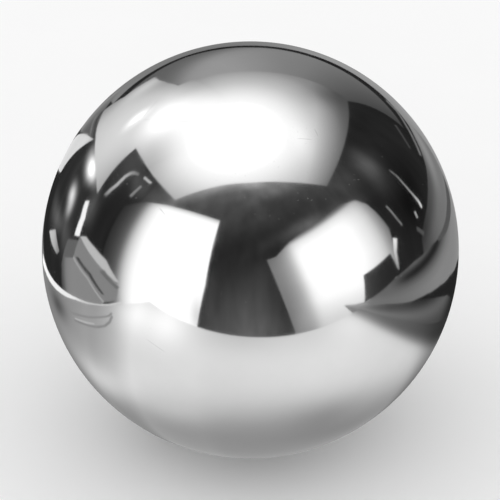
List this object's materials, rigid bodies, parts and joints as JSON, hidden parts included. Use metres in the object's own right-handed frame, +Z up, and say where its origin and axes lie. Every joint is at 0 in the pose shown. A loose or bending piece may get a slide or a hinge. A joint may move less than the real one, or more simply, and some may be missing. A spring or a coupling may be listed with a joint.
{
  "type": "steel ball",
  "caption": "Solid mirror-polished steel ball: a plain sphere with no flat, hole or seam, that rolls or sits in a cup, ring or race.",
  "frame": {"origin": "centre of the ball", "axes": "+Z up, towards the top of the ball as pictured; +X to the right of the picture; -Y towards the camera"},
  "size_m": [0.05, 0.05, 0.05],
  "materials": {
    "polished_steel": "polished"
  },
  "bodies": {
    "root": {"ball": "polished_steel"}
  },
  "joints": []
}
